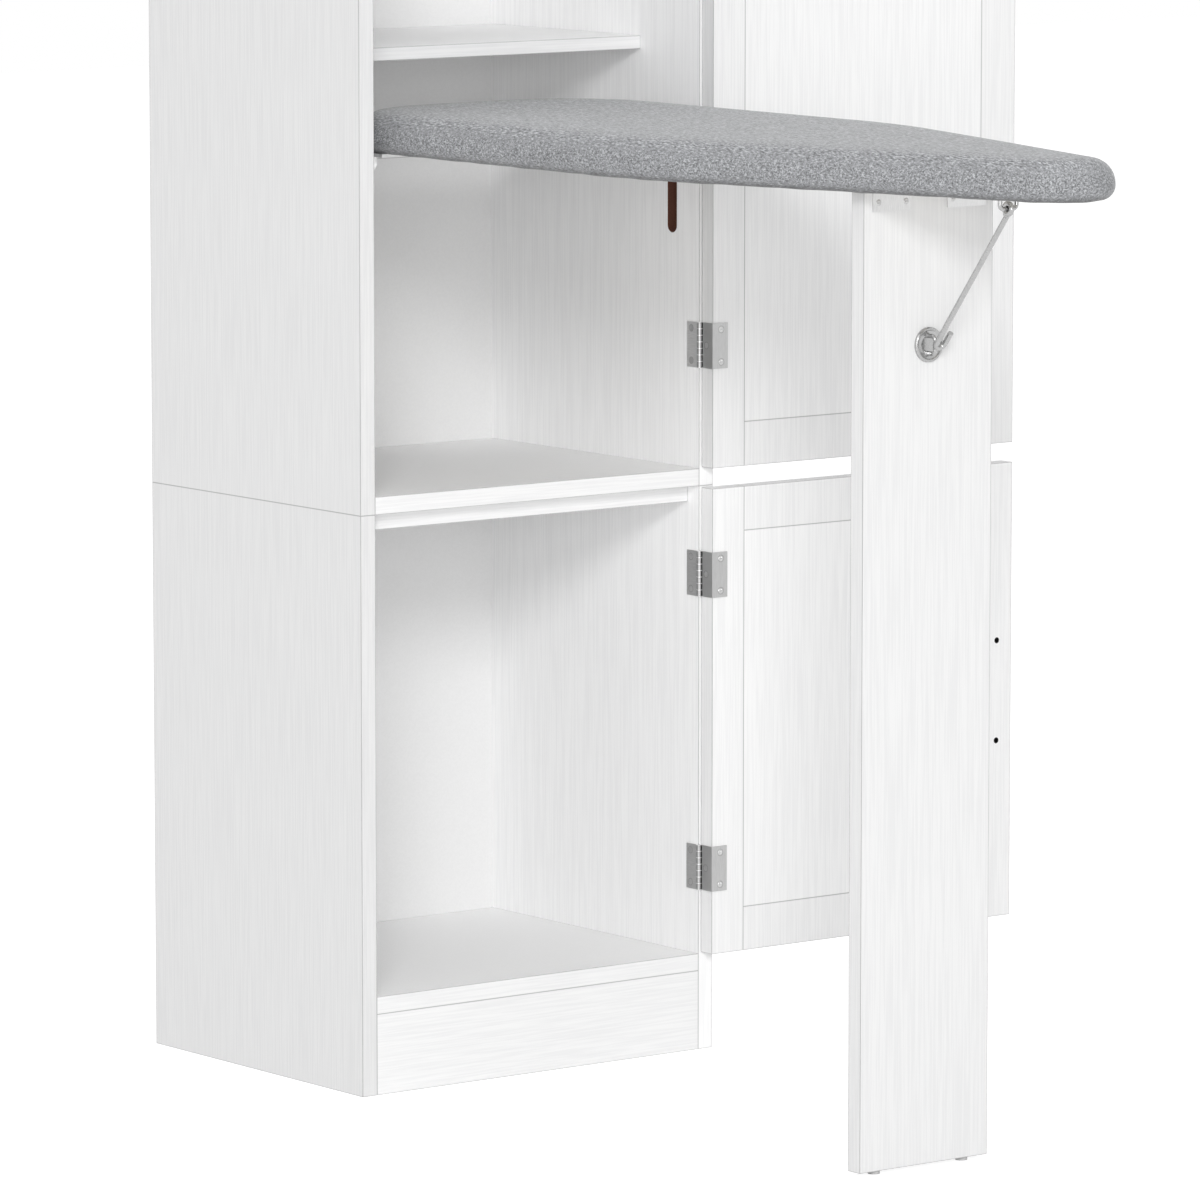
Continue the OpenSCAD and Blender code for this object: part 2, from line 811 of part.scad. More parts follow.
// Wire stay: an eye on the board's staple, a sideways kink, a straight shank
// down towards the leg, and a hook whose bend lies across the leg's staple
module stay_hook() {
    shank = stay_len - hook_r;
    bend_z = eye_r + kink_h;
    tip_x = kink_w + 2 * hook_r;
    color(steel) translate([eye_x, eye_y, eye_z]) rotate([90 - stay_angle, 0, 0]) rotate([180, 0, 0]) {
        rotate([0, 90, 0]) rotate_extrude($fn = bend_fn)
            translate([eye_r, 0]) circle(r = stay_r, $fn = wire_fn);
        translate([kink_r, 0, eye_r]) mirror([1, 0, 0]) wire_bend(kink_r, stay_r, kink_a - bead_a);
        for (spot = [[kink_w / 2, eye_r + kink_h / 2], [kink_w, bend_z], [kink_w, shank], [tip_x, shank]])
            translate([spot.x, 0, spot.y]) sphere(r = bead_r, $fn = bend_fn);
        translate([kink_w - kink_r, 0, bend_z - bead_gap]) mirror([0, 0, 1])
            wire_bend(kink_r, stay_r, kink_a - bead_a);
        translate([kink_w, 0, bend_z + bead_gap])
            cylinder(r = stay_r, h = shank - bend_z - 2 * bead_gap, $fn = wire_fn);
        translate([tip_x, 0, shank - hook_tip]) cylinder(r = stay_r, h = hook_tip - bead_gap, $fn = wire_fn);
        translate([kink_w + hook_r, 0, shank]) wire_bend(hook_r, stay_r, 180);
    }
}

lower_left_side();
lower_right_side();
plinth_board();
lower_bottom_panel();
lower_top_panel();
lower_back_panel();
upper_left_side();
upper_right_side();
upper_bottom_panel();
upper_top_panel();
upper_back_panel();
tail_rail();
wall_rail();
shelf_1();
shelf_2();
shelf_3();
shelf_pins();
upper_fixed_leaves();
upper_hinge_pins();
lower_fixed_leaves();
lower_hinge_pins();
upper_hinge_stile();
upper_lock_stile();
upper_top_rail();
upper_bottom_rail();
upper_field_panel();
upper_wrap_leaves();
upper_handle();
lower_hinge_stile();
lower_lock_stile();
lower_top_rail();
lower_bottom_rail();
lower_field_panel();
lower_wrap_leaves();
lower_handle();
left_slider();
right_slider();
board_deck();
board_pad();
left_bracket();
right_bracket();
pivot_pins();
leg_fixed_leaves();
leg_hinge_pins();
stay_staple();
leg_panel();
leg_glides();
leg_wrap_leaves();
hook_plate();
stay_hook();
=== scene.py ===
import math
from functools import reduce

import bpy
import numpy as np
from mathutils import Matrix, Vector


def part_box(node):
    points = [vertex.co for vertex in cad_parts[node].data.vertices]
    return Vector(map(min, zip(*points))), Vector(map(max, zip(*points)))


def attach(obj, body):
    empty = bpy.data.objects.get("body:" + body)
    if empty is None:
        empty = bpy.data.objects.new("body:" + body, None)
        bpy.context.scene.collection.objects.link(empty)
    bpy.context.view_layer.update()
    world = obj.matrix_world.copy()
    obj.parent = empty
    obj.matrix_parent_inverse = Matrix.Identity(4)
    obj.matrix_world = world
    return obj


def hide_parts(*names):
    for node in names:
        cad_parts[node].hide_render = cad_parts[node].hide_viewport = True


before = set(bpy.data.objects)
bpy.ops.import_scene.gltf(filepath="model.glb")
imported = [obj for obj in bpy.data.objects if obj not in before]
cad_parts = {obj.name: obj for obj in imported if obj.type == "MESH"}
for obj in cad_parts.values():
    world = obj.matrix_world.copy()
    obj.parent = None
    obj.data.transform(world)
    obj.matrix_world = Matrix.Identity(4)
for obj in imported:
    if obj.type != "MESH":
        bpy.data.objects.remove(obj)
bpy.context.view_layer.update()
MM = 0.001


# Camera

PHOTO_PX = 1200
SENSOR = 36.0
CAMERA_PLACE = (-4.3203, -5.7398, 1.3857)
CAMERA_HEADING = 37.406
CAMERA_DIP = 7.530
CAMERA_REACH = 60
FOCAL_PX = 7968.8


def make_camera():
    """Long lens in front of the cabinet's left corner. It looks right of +y by the heading, and down by the
    dip."""
    heading = math.radians(CAMERA_HEADING)
    dip = math.radians(CAMERA_DIP)
    look = Vector((math.sin(heading) * math.cos(dip), math.cos(heading) * math.cos(dip), -math.sin(dip)))
    data = bpy.data.cameras.new("photo_camera")
    data.sensor_width = SENSOR
    data.lens = SENSOR * FOCAL_PX / PHOTO_PX
    data.clip_end = CAMERA_REACH
    camera = bpy.data.objects.new("photo_camera", data)
    camera.location = CAMERA_PLACE
    camera.rotation_euler = look.to_track_quat("-Z", "Y").to_euler()
    bpy.context.scene.collection.objects.link(camera)
    bpy.context.scene.camera = camera


# Shader expressions


class Value:
    """A number or colour in a node tree. Sums and products of values add Math nodes."""

    def __init__(self, nodes, socket):
        self.nodes = nodes
        self.socket = socket

    def maths(self, operation, *others):
        return self.nodes.add("ShaderNodeMath", (self, *others), operation=operation)

    def __add__(self, other):
        return self.maths("ADD", other)

    __radd__ = __add__

    def __sub__(self, other):
        return self.maths("SUBTRACT", other)

    def __rsub__(self, other):
        return self.nodes.add("ShaderNodeMath", (other, self), operation="SUBTRACT")

    def __mul__(self, other):
        return self.maths("MULTIPLY", other)

    def __abs__(self):
        return self.maths("ABSOLUTE")

    def least(self, other):
        return self.maths("MINIMUM", other)

    def most(self, other):
        return self.maths("MAXIMUM", other)


class Nodes:
    """A node tree to which nodes are added from values."""

    def __init__(self, tree):
        self.tree = tree

    def put(self, node, inputs):
        """Links the values to the node's inputs, and sets the plain numbers and colours there."""
        pairs = inputs.items() if isinstance(inputs, dict) else enumerate(inputs)
        for key, value in pairs:
            if isinstance(value, Value):
                self.tree.links.new(value.socket, node.inputs[key])
            else:
                node.inputs[key].default_value = value

    def add(self, kind, inputs=(), output=0, **settings):
        """Adds one node, with its settings first and then its inputs. Returns the value of one output."""
        node = self.tree.nodes.new(kind)
        for key, value in settings.items():
            setattr(node, key, value)
        self.put(node, inputs)
        return Value(self, node.outputs[output])

    def seen(self):
        """1 on rays from the camera and on those that metal or glass sends on, 0 on the light that falls on
        surfaces."""
        rays = [self.add("ShaderNodeLightPath", output=name)
                for name in ("Is Camera Ray", "Is Glossy Ray", "Is Transmission Ray")]
        return reduce(Value.most, rays)


def socket_name(key):
    """Name of a Principled input from the name of an argument."""
    return key.replace("_", " ").title().replace("Ior", "IOR")


class Finish(Nodes):
    """A material: a Principled shader whose changing inputs are worked out from values."""

    def __init__(self, name, **plain):
        self.material = bpy.data.materials.new(name)
        self.material.use_nodes = True
        super().__init__(self.material.node_tree)
        self.shader = self.tree.nodes["Principled BSDF"]
        self.finish(**plain)

    def place(self):
        """Place in the object's own frame."""
        return self.add("ShaderNodeTexCoord", output="Object")

    def axes(self, vector):
        """The three parts of a vector."""
        node = self.tree.nodes.new("ShaderNodeSeparateXYZ")
        self.put(node, (vector,))
        return [Value(self, part) for part in node.outputs]

    def facing(self):
        """How far the surface faces along x, y and z, in the object's own frame."""
        return [abs(part) for part in self.axes(self.add("ShaderNodeTexCoord", output="Normal"))]

    def scaled(self, vector, scale):
        return self.add("ShaderNodeVectorMath", (vector, scale), operation="MULTIPLY")

    def noise(self, vector, scale=1.0, detail=2.0, roughness=0.5):
        """Noise between 0 and 1, with its scale in waves to a metre where the place isn't stretched."""
        return self.add("ShaderNodeTexNoise",
                        {"Vector": vector, "Scale": scale, "Detail": detail, "Roughness": roughness})

    def rise(self, value, low, high, start=0.0, end=1.0):
        """Smooth step from the start, at low, to the end, at high."""
        return self.add("ShaderNodeMapRange",
                        {"Value": value, "From Min": low, "From Max": high, "To Min": start, "To Max": end},
                        interpolation_type="SMOOTHSTEP")

    def fall(self, value, low, high):
        """Smooth step from 1, at low, to 0, at high."""
        return self.rise(value, low, high, 1, 0)

    def blend(self, factor, first, second):
        """Colour that goes from the first to the second as the factor goes from 0 to 1."""
        return self.add("ShaderNodeMix", {0: factor, 6: first, 7: second}, output=2, data_type="RGBA")

    def rough(self, pattern, least, spread):
        """Roughness that grows with a pattern."""
        return least + pattern * spread

    def bump(self, height, strength, distance):
        return self.add("ShaderNodeBump", {"Strength": strength, "Distance": distance, "Height": height})

    def finish(self, **inputs):
        """Fills inputs of the shader, and returns the material."""
        self.put(self.shader, {socket_name(key): value for key, value in inputs.items()})
        return self.material


def rgb(grey, tint=(1, 1, 1)):
    """Opaque colour of a linear grey with a tint."""
    return (grey * tint[0], grey * tint[1], grey * tint[2], 1)


def greys(grey, shares):
    """Colours of shares of a grey."""
    return [rgb(grey * share) for share in shares]


def radius(across, along):
    """Distance from a centre, given its two parts."""
    return (across * across + along * along).maths("SQRT")


# What materials share: the middle of the noise, the noise of brushed lines, and the blur of a painted edge

NOISE_MIDDLE = 0.5
BRUSHED = {"detail": 3, "roughness": 0.6}
EDGE_BLUR = 0.1 * MM


# White laminate: how much light each part throws back, and the grain, in waves to a metre. The panels are one
# white, and their whites differ as painted light and shade: lighter on the right sides, the bays' floors and
# tops, the shelves and the door fields, darker on the left sides, the back, the leg and the upper door.

WHITE = 0.84
INSIDE_LIT_WHITE = 0.95
BACK_SHADED_WHITE = 0.8
FIELD_LIT_WHITE = 0.9
DOOR_WHITE = 0.87
UPPER_DOOR_SHADE = 0.915
LEG_SHADED_WHITE = 0.75
SIDE_SHADED_WHITE = 0.73
GRAIN_ACROSS = 480
GRAIN_ALONG = 11
GRAIN_SPAN = (0.36, 0.64)
GRAIN_DEPTH = 0.065
GRAIN_TINT = (1, 1, 1.004)
MOTTLE = {"scale": 420, "detail": 3, "roughness": 0.7}
MOTTLE_SPAN = (0.35, 0.65)
MOTTLE_DEPTH = 0.025
FACING_SPAN = (0.4, 0.6)
# Painted shade: a thin dark line along every edge of each panel.
EDGE_SHADE_HALF = 0.75 * MM
EDGE_SHADE_FULL = 0.1 * EDGE_SHADE_HALF
EDGE_SHADE_SHARE = 0.72
EDGE_SHADE_GREY = 0.22
LAMINATE_SHINE = 0.35
LAMINATE_ROUGH = (0.42, 0.14)
LAMINATE_RELIEF = (0.35, 0.12 * MM)


def arris(finish, position, low, high):
    """1 along the edges of a box-shaped panel and 0 elsewhere: on a face one of the three distances to the
    nearest box plane is 0, and the middle one of the three is the distance to the nearest edge."""
    gaps = [(part - low[axis]).least(high[axis] - part) for axis, part in enumerate(position)]
    total = gaps[0] + gaps[1] + gaps[2]
    middle = total - reduce(Value.least, gaps) - reduce(Value.most, gaps)
    return finish.fall(middle, EDGE_SHADE_FULL, EDGE_SHADE_HALF)


def laminate(node, white=WHITE, grain=2, plain_axis=None, plain_white=None, detail=None):
    """White laminate with fine brushed grain along one axis and a thin painted shadow line along the panel's
    edges.
    The faces across the plain axis have no grain, and can have a faint mottle on a white of their own, which
    is painted light and shade for how the lamps fall on those faces. The detail function, if there is one,
    paints marks over the colour."""
    low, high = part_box(node)
    finish = Finish(node + "_laminate", specular_ior_level=LAMINATE_SHINE)
    place = finish.place()
    position = finish.axes(place)
    stretch = [GRAIN_ACROSS] * 3
    stretch[grain] = GRAIN_ALONG
    height = finish.noise(finish.scaled(place, stretch), **BRUSHED)
    if plain_axis is not None:
        facing = finish.facing()[plain_axis]
        height = NOISE_MIDDLE + (height - NOISE_MIDDLE) * finish.fall(facing, *FACING_SPAN)
    streak = finish.rise(height, *GRAIN_SPAN)
    colour = finish.blend(streak, rgb(white * (1 - GRAIN_DEPTH), GRAIN_TINT), rgb(white))
    if plain_white:
        mottle = finish.rise(finish.noise(place, **MOTTLE), *MOTTLE_SPAN)
        plain = finish.blend(mottle, rgb(plain_white * (1 - MOTTLE_DEPTH)), rgb(plain_white))
        colour = finish.blend(finish.rise(facing, *FACING_SPAN), colour, plain)
    # Painted shade line along the panel's edges.
    colour = finish.blend(arris(finish, position, low, high) * EDGE_SHADE_SHARE, colour, rgb(EDGE_SHADE_GREY))
    if detail:
        colour = detail(finish, position, colour)
    return finish.finish(base_color=colour, roughness=finish.rough(streak, *LAMINATE_ROUGH),
                         normal=finish.bump(height, *LAMINATE_RELIEF))


GROOVE_X = (184.06 * MM, 194.2 * MM)
GROOVE_Y = (33.5 * MM, 47.9 * MM)
GROOVE_Z = (758 * MM, 854 * MM)
CORE_DARK = (0.09, 0.036, 0.024)
CORE_LIGHT = (0.2, 0.09, 0.062)
GRIT_SCALE = 900


def groove_core(finish, position, colour):
    """Raw brown board inside the pivot groove, where the cut goes through the laminate."""
    def between(part, low, high):
        return finish.rise(part, low, low + EDGE_BLUR) * finish.fall(part, high - EDGE_BLUR, high)
    inside = (between(abs(position[0]), *GROOVE_X) * between(position[1], *GROOVE_Y)
              * between(position[2], *GROOVE_Z))
    grit = finish.noise(finish.place(), scale=GRIT_SCALE)
    return finish.blend(inside, colour, finish.blend(grit, rgb(1, CORE_DARK), rgb(1, CORE_LIGHT)))


BORE_R = 3 * MM
BORE_BLUR = 0.2 * MM
HANDLE_PITCH = 96 * MM
UNLIT = 0.01


def handle_bores(handle):
    """Unlit bores of the handle's two screws through the stile."""
    low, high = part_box(handle)

    def detail(finish, position, colour):
        across = position[0] - (low[0] + high[0]) / 2
        along = abs(position[2] - (low[2] + high[2]) / 2) - HANDLE_PITCH / 2
        bore = finish.fall(radius(across, along), BORE_R - BORE_BLUR, BORE_R)
        return finish.blend(bore, colour, rgb(UNLIT))
    return detail


CHIP_SCALE = 260
CHIP_DARK = (0.74, 0.71, 0.66)
CHIP_LIGHT = (0.88, 0.86, 0.82)
CHIP_SPAN = (0.1, 0.9)
CHIP_SHARE = 0.75
DUST_SCALE = 1400
DECK_ROUGH = 0.75
DECK_RELIEF = (0.3, 0.1 * MM)


def deck_board():
    """White-faced board, through which chips of a few millimetres show faintly."""
    finish = Finish("deck_board", roughness=DECK_ROUGH)
    place = finish.place()
    chips = finish.add("ShaderNodeTexVoronoi", {"Vector": place, "Scale": CHIP_SCALE}, output="Color")
    dust = finish.noise(place, scale=DUST_SCALE)
    tone = finish.rise(finish.axes(chips)[0] * CHIP_SHARE + dust * (1 - CHIP_SHARE), *CHIP_SPAN)
    colour = finish.blend(tone, rgb(1, CHIP_DARK), rgb(1, CHIP_LIGHT))
    return finish.finish(base_color=colour, normal=finish.bump(tone, *DECK_RELIEF))


# Hinges: sizes of the leaves, pins and screws that the frame's hinges have

HINGE_HALF = 21 * MM
HINGE_GAP = 2.5 * MM
LEAF_T = 1.2 * MM
PIN_OUT = 0.5 * MM
DOOR_T = 16 * MM
DOOR_OUT_Y = -2 * PIN_OUT
DOOR_MIDDLE_Y = DOOR_OUT_Y - DOOR_T / 2
DOOR_IN_Y = DOOR_OUT_Y - DOOR_T
SIDE_IN_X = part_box("plinth_board")[1][0]
SCREW_RISE = 15 * MM
FIXED_SCREW = 10.5 * MM
WRAP_SCREW = 8.9 * MM
HEAD_R = 2.9 * MM


def hinge_heights(unit):
    """Heights of the hinges of a door, from its leaves' box and number."""
    low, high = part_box(unit + "_fixed_leaves")
    ends = [low[2] + HINGE_HALF, high[2] - HINGE_HALF]
    return ends if unit == "lower" else [ends[0], sum(ends) / 2, ends[1]]


# Metals and plastics: their greys, and the shares of them between which a pattern goes

# Painted light and shade: the hinge leaves are one steel, and their greys differ from part to part for how
# the light falls on them.
STEEL_GREY = {"pin_steel": 0.5, "screw_steel": 0.6, "handle_steel": 0.5, "bracket_zinc": 0.86,
              "leg_leaf_steel": 0.74, "upper_leaf_steel": 0.84, "lower_leaf_steel": 0.62,
              "upper_wrap_steel": 0.5, "lower_wrap_steel": 0.5}
STEEL_ROUGH = (0.3, 0.14)
STEEL_RELIEF = (0.12, 0.03 * MM)
HAIR_ALONG = 140
HAIR_ACROSS = 3200
HAIR_SPAN = (0.3, 0.7)
HAIR_SHARES = (0.9, 1.06)
WIRE_GREY = (0.4, 0.52)
WIRE_CLOUD = {"scale": 260, "detail": 3}
WIRE_ROUGH = (0.2, 0.14)
NYLON_GREY = {"grey_nylon": 0.22, "glide_nylon": 0.5}
NYLON_ROUGH = (0.5, 0.1)
NYLON_RELIEF = (0.2, 0.03 * MM)
SPECKLE_SCALE = 2200
SPECKLE_SHARES = (0.92, 1.08)


def satin_steel(name, across=2, detail=None):
    """Satin steel with hair lines. The detail function, if there is one, paints marks over its colour."""
    finish = Finish(name, metallic=1)
    place = finish.place()
    stretch = [HAIR_ALONG] * 3
    stretch[across] = HAIR_ACROSS
    lines = finish.noise(finish.scaled(place, stretch), **BRUSHED)
    colour = finish.blend(finish.rise(lines, *HAIR_SPAN), *greys(STEEL_GREY[name], HAIR_SHARES))
    if detail:
        colour = detail(finish, finish.axes(place), colour)
    return finish.finish(base_color=colour, roughness=finish.rough(lines, *STEEL_ROUGH),
                         normal=finish.bump(lines, *STEEL_RELIEF))


SCREW_END = 0.6 * MM
SCREW_END_BLUR = 0.4 * MM


def screw_ends(finish, position, colour):
    """The ends of the handle's screws, inside the door, are painted unlit dark: painted shade in the bores.
    """
    end_y = DOOR_OUT_Y - SCREW_END
    # Painted shade on the screw ends inside the bore.
    inside = finish.fall(position[1], end_y, end_y + SCREW_END_BLUR)
    return finish.blend(inside, colour, rgb(UNLIT))


BARREL_SHADE = 0.05
BARREL_GREY = 0.45
BARREL_GLINT = 0.95
BARREL_R = 2.6 * MM
BARREL_BLUR = 0.5 * MM
KNUCKLE_PITCH = 6.029 * MM
KNUCKLE_GLINT = 0.4 * MM


def hinge_middle(height, heights):
    """Distance along the pin from the middle of the nearest hinge."""
    return reduce(Value.least, [abs(height - middle) for middle in heights])


def barrel(finish, position, near, colour):
    """Hinge barrel round the pin: grey on the cabinet's side, painted shade on the door's side, with a
    painted glint at each joint of its knuckles. The joints lie at odd halves of the pitch from the hinge's
    middle."""
    # Painted shade on the door's side of the barrel, and a painted glint at each knuckle joint.
    phase = (near * (1 / KNUCKLE_PITCH)).maths("FRACT")
    glint = finish.fall(abs(phase - 0.5), 0.5 * KNUCKLE_GLINT / KNUCKLE_PITCH, KNUCKLE_GLINT / KNUCKLE_PITCH)
    side = finish.rise(position[0], SIDE_IN_X - EDGE_BLUR, SIDE_IN_X + BARREL_BLUR)
    tone = finish.blend(side, rgb(BARREL_GREY), rgb(BARREL_SHADE))
    share = (finish.fall(abs(position[0] - SIDE_IN_X), BARREL_R, BARREL_R + EDGE_BLUR)
             * finish.fall(abs(position[1] + PIN_OUT), BARREL_R, BARREL_R + EDGE_BLUR))
    return finish.blend(share, colour, finish.blend(glint, tone, rgb(BARREL_GLINT)))


SINK_SHADE_GREY = 0.08
SINK_RING_SHADE = 0.4
SINK_CROSS_SHADE = 0.7
RING_IN = (HEAD_R - 0.3 * MM, HEAD_R)
RING_OUT = (HEAD_R + 0.3 * MM, HEAD_R + 0.7 * MM)
CROSS_OUT = (0.7 * HEAD_R, 0.75 * HEAD_R)


def sink_ring(finish, across, along, colour, flush=False):
    """Ring of painted shade round a countersunk screw, given the two distances from its middle. A flush
    head's cross is open down to the leaf, and is painted with shade there."""
    away = radius(across, along)
    # Painted shade in a ring round the head, and in a flush head's cross.
    ring = finish.rise(away, *RING_IN) * finish.fall(away, *RING_OUT)
    colour = finish.blend(ring * SINK_RING_SHADE, colour, rgb(SINK_SHADE_GREY))
    if flush:
        cross = finish.fall(away, *CROSS_OUT)
        colour = finish.blend(cross * SINK_CROSS_SHADE, colour, rgb(SINK_SHADE_GREY))
    return colour


def fixed_leaf_marks(heights):
    """Marks of the leaves on the cabinet: the barrel, and a ring of painted shade round each of a leaf's two
    screws, with painted shade in their crosses.
    """
    def detail(finish, position, colour):
        near = hinge_middle(position[2], heights)
        colour = sink_ring(finish, position[1] - FIXED_SCREW, near - SCREW_RISE, colour, flush=True)
        return barrel(finish, position, near, colour)
    return detail


STRIP_SHADE_SHARE = 0.8
STRIP_SHADE_GREY = 0.54


def wrap_leaf_marks(heights):
    """Marks of the leaves on a door, in the open place: an edge strip darkened with painted shade, with one
    screw, a face with two screws, each screw with its ring of painted shade, and the barrel beside the edge
    strip."""
    edge_x = SIDE_IN_X + HINGE_GAP
    strip_x = edge_x - LEAF_T + EDGE_BLUR

    def detail(finish, position, colour):
        near = hinge_middle(position[2], heights)
        # Painted shade on the edge strip of the leaf.
        strip = finish.fall(position[0], strip_x, strip_x + EDGE_BLUR / 2)
        colour = finish.blend(strip * STRIP_SHADE_SHARE, colour, rgb(STRIP_SHADE_GREY))
        colour = sink_ring(finish, position[0] - (edge_x + WRAP_SCREW), near - SCREW_RISE, colour)
        colour = sink_ring(finish, position[1] - DOOR_MIDDLE_Y, near, colour, flush=True)
        return barrel(finish, position, near, colour)
    return detail


def bright_wire():
    """Satin chrome with faint dull patches."""
    finish = Finish("satin_chrome", metallic=1)
    cloud = finish.noise(finish.place(), **WIRE_CLOUD)
    colour = finish.blend(cloud, *greys(1, WIRE_GREY))
    return finish.finish(base_color=colour, roughness=finish.rough(cloud, *WIRE_ROUGH))


def nylon(name):
    """Matt moulded plastic with a fine speckle."""
    finish = Finish(name)
    speckle = finish.noise(finish.place(), scale=SPECKLE_SCALE)
    colour = finish.blend(speckle, *greys(NYLON_GREY[name], SPECKLE_SHARES))
    return finish.finish(base_color=colour, roughness=finish.rough(speckle, *NYLON_ROUGH),
                         normal=finish.bump(speckle, *NYLON_RELIEF))


# Cover cloth: its greys, and its fibres in waves to a metre

CLOTH_DARK = 0.125
CLOTH_MID = 0.297
CLOTH_LIGHT = 0.54
CLOTH_TINT = (0.98, 1, 1.035)
CLOTH_SURFACE = {"roughness": 0.82, "sheen_weight": 0.25, "sheen_roughness": 0.4, "specular_ior_level": 0.2}
CLOTH_RELIEF = (0.35, 0.2 * MM)
WARP = (900, 330, 700)
WEFT = (330, 900, 700)
LONG_FIBRE = (760, 230, 600)
LONG_GAIN = 1.25
LONG_LOSS = 0.1
FIBRE_ROUGH = 0.6
TOP_SPAN = (0.3, 0.98)
PIT_SPAN = (0.3, 0.52)
FLECK_SPAN = (0.55, 0.72)
FLECK_SHARE = 0.9
CLOUD = {"scale": 26, "detail": 3}
CLOUD_SHARE = 0.05
HEM_SHADE_GREY = 0.5 * CLOTH_DARK
HEM_SHADE_SHARE = 0.75
HEM_SHADE_LOW = 1 * MM
HEM_SHADE_HIGH = 6 * MM


def cover_cloth():
    """Heathered grey cloth: short fibres in two directions, pale flecks on a mid grey, and painted shade low
    on the rim where the cover turns under. On top the fibres run along the board."""
    finish = Finish("heather_cloth", **CLOTH_SURFACE)
    place = finish.place()
    warp, weft, long_fibre = [finish.noise(finish.scaled(place, stretch), roughness=FIBRE_ROUGH)
                              for stretch in (WARP, WEFT, LONG_FIBRE)]
    cloud = finish.noise(place, **CLOUD)
    up = finish.rise(finish.facing()[2], *TOP_SPAN)
    fibre = warp.most(weft)
    pit = warp.least(weft)
    fibre = fibre + (long_fibre * LONG_GAIN - LONG_LOSS - fibre) * up
    pit = pit + (long_fibre - pit) * up
    dark, mid, light = [rgb(grey, CLOTH_TINT) for grey in (CLOTH_DARK, CLOTH_MID, CLOTH_LIGHT)]
    ground = finish.blend(finish.rise(pit, *PIT_SPAN), dark, mid)
    fleck = finish.rise(fibre + (cloud - NOISE_MIDDLE) * CLOUD_SHARE, *FLECK_SPAN)
    colour = finish.blend(fleck * FLECK_SHARE, ground, light)
    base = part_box("board_pad")[0][2]
    # Painted shade low on the rim, where the cover turns under.
    turned = finish.fall(finish.axes(place)[2], base - HEM_SHADE_LOW, base + HEM_SHADE_HIGH)
    colour = finish.blend(turned * HEM_SHADE_SHARE, colour, rgb(HEM_SHADE_GREY))
    return finish.finish(base_color=colour, normal=finish.bump(fibre + pit, *CLOTH_RELIEF))


# Surfaces worked out on grids


def mesh_of(name, points, faces, material, body):
    """Puts points and faces into a new object that rides on a body."""
    mesh = bpy.data.meshes.new(name)
    mesh.from_pydata(points.reshape(-1, 3).tolist(), [], faces)
    mesh.update()
    mesh.shade_smooth()
    piece = bpy.data.objects.new(name, mesh)
    bpy.context.scene.collection.objects.link(piece)
    piece.data.materials.append(material)
    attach(piece, body)
    return piece


def ring_faces(rows, columns, last_cap):
    """Quads of a grid whose rows are closed rings, a face over the first ring, and one over the last ring
    where it is asked for."""
    row, column = np.meshgrid(np.arange(rows - 1), np.arange(columns), indexing="ij")
    after = (column + 1) % columns
    corners = [row * columns + column, row * columns + after,
               (row + 1) * columns + after, (row + 1) * columns + column]
    faces = np.stack(corners, axis=-1).reshape(-1, 4).tolist()
    faces.append(list(range(columns - 1, -1, -1)))
    if last_cap:
        faces.append(list(range((rows - 1) * columns, rows * columns)))
    return faces


# Board pad: the outline is the one in the frame, worked out from the same arcs

NOSE_R = 50 * MM
TAPER_Y = -279 * MM
TAPER_R = 430 * MM
TAIL_R = 112 * MM
ARC_POINTS = 40
BEND_POINTS = 30
OUTLINE_POINTS = 260
DECK_INSET = 14 * MM
DECK_T = 16 * MM
POCKET_GAP = 0.1 * MM
RIM_LOW = 12 * MM
RIM_LOW_ROWS = 8
RIM_TOP = 22 * MM
RIM_TOP_ROWS = 11
CROWN = 1.6 * MM
CROWN_RUN = 24 * MM
CROWN_STEPS = (0.12, 0.3, 0.5, 0.75, 1)
SPINE_STEPS = (0.2, 0.4, 0.6, 0.8, 1)
SPINE_NOSE = 1.2
HEM = 27 * MM
HEM_DROP = 0.8 * MM
# A row of the hem: its inset, its share of the drop and its share of the gathers
HEM_ROWS = ((HEM, 0.8, 1), (HEM - 2 * MM, 1, 1), (20 * MM, 1, 0.8), (14 * MM, 1, 0.5))
RIM_GATHER = 0.35
# A wave of the gathers: its length, its shift and its weight
GATHER_WAVES = ((9 * MM, 0, 1), (5.3 * MM, 1.3, 0.6), (17 * MM, 0, 0.5))
GATHER_RISE = 0.3 * MM
GATHER_IN = 0.9 * MM
SWELL = 0.25 * MM
SWELL_DEPTH = 6 * MM
SWELL_ALONG = 95 * MM
SWELL_ACROSS = 60 * MM
SWELL_SHIFT = 0.7
PRESSED = 0.3
PRESS_RUN = 15 * MM


def arc(centre, size, start, end, count):
    """Points and outward normals of an arc, angles in degrees from +x."""
    angle = np.radians(np.linspace(start, end, count))
    normal = np.stack([np.cos(angle), np.sin(angle)], axis=-1)
    return np.asarray(centre) + size * normal, normal


